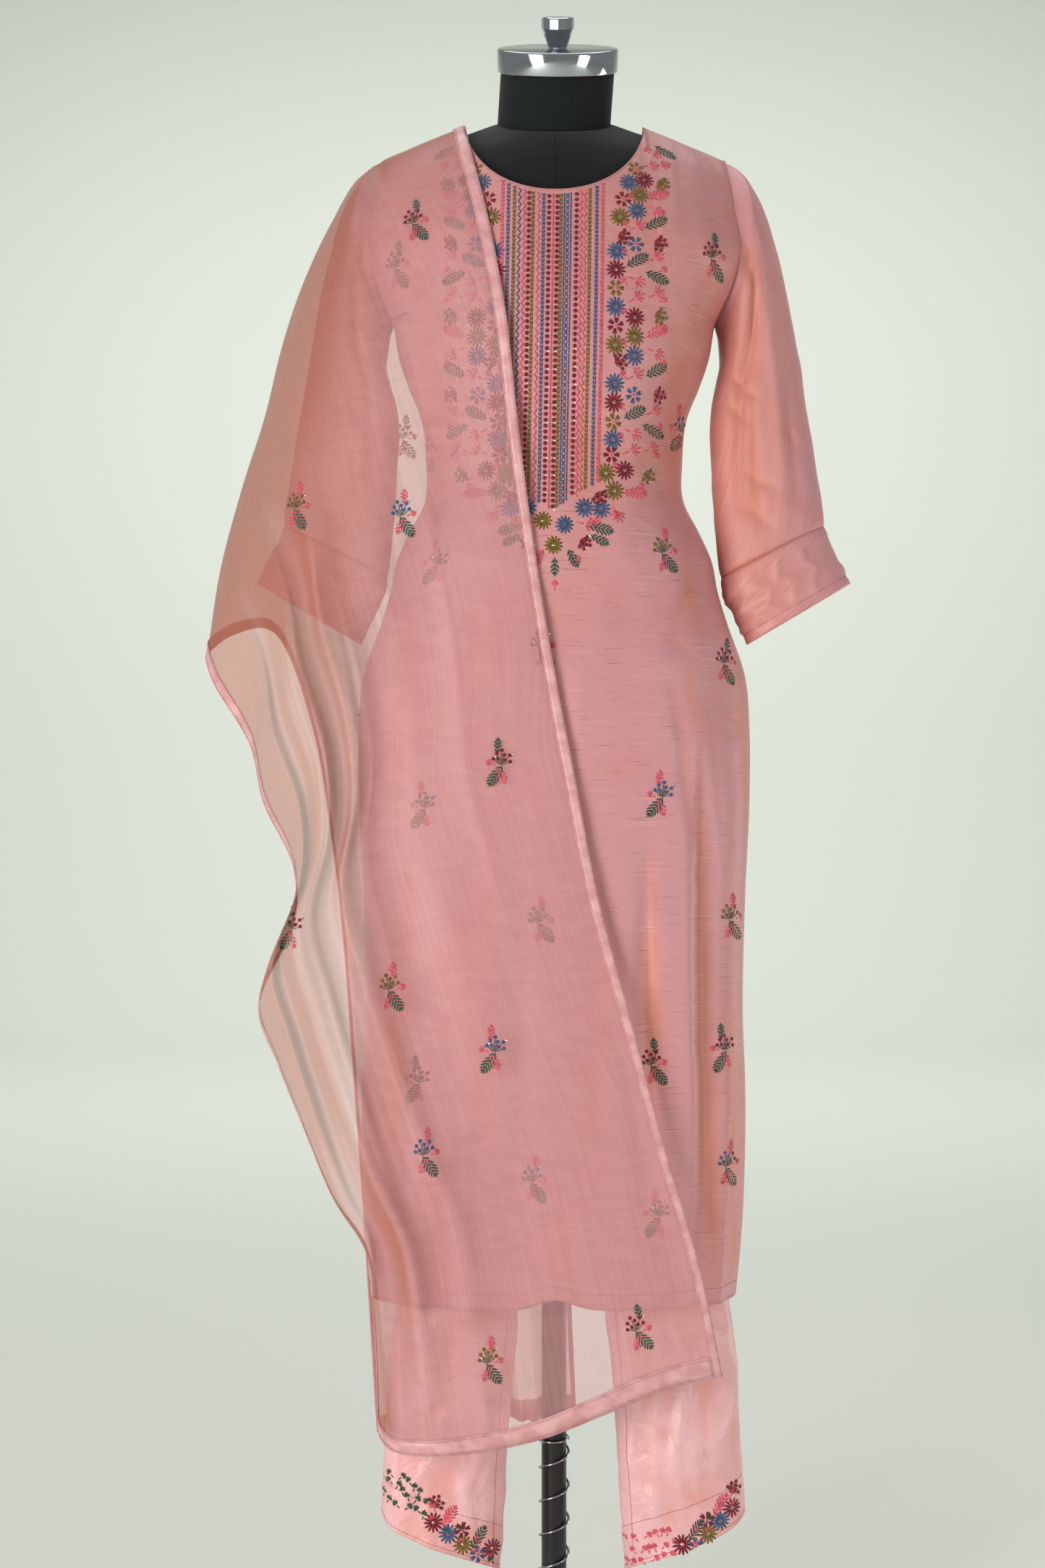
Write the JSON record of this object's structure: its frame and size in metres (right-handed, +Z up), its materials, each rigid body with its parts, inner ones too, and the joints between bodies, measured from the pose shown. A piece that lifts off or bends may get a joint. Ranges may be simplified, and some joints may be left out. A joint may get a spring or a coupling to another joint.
{
  "type": "salwar kameez suit on dress form",
  "caption": "Pink raw silk salwar kameez with straight trousers and a sheer bound dupatta over one shoulder, on a black limbless dress form with a pole and round base.",
  "frame": {"origin": "on the floor, on the axis of the stand's pole, at the middle of the base's underside", "axes": "+Z up, the front of the suit faces -Y, the wearer's left is at +X"},
  "size_m": [0.66, 0.4, 1.71],
  "materials": {
    "silk_pink": "slubbed shot silk, soft sheen",
    "trouser_pink": "light silk, crumpled sheen",
    "organza_pink": "sheer organza",
    "satin_pink": "satin binding",
    "form_black": "matte black jersey",
    "stand_black": "black satin paint",
    "chrome_metal": "polished chrome"
  },
  "bodies": {
    "root": {"kameez_front": "silk_pink", "kameez_back": "silk_pink", "sleeve_left": "silk_pink", "sleeve_right": "silk_pink", "cuff_left": "silk_pink", "cuff_right": "silk_pink", "trouser_front_left": "trouser_pink", "trouser_front_right": "trouser_pink", "trouser_back_left": "trouser_pink", "trouser_back_right": "trouser_pink", "trouser_waistband": "trouser_pink", "dupatta_front": "organza_pink", "dupatta_shoulder": "organza_pink", "dupatta_back": "organza_pink", "dupatta_binding_inner_front": "satin_pink", "dupatta_binding_outer_front": "satin_pink", "dupatta_binding_inner_shoulder": "satin_pink", "dupatta_binding_outer_shoulder": "satin_pink", "dupatta_binding_inner_back": "satin_pink", "dupatta_binding_outer_back": "satin_pink", "dupatta_end_front": "satin_pink", "dupatta_end_back": "satin_pink", "form_torso": "form_black", "form_neck": "form_black", "neck_cap": "chrome_metal", "neck_cap_knob": "chrome_metal", "stand_pole": "stand_black", "stand_spring": "chrome_metal", "stand_base": "stand_black"}
  },
  "joints": []
}
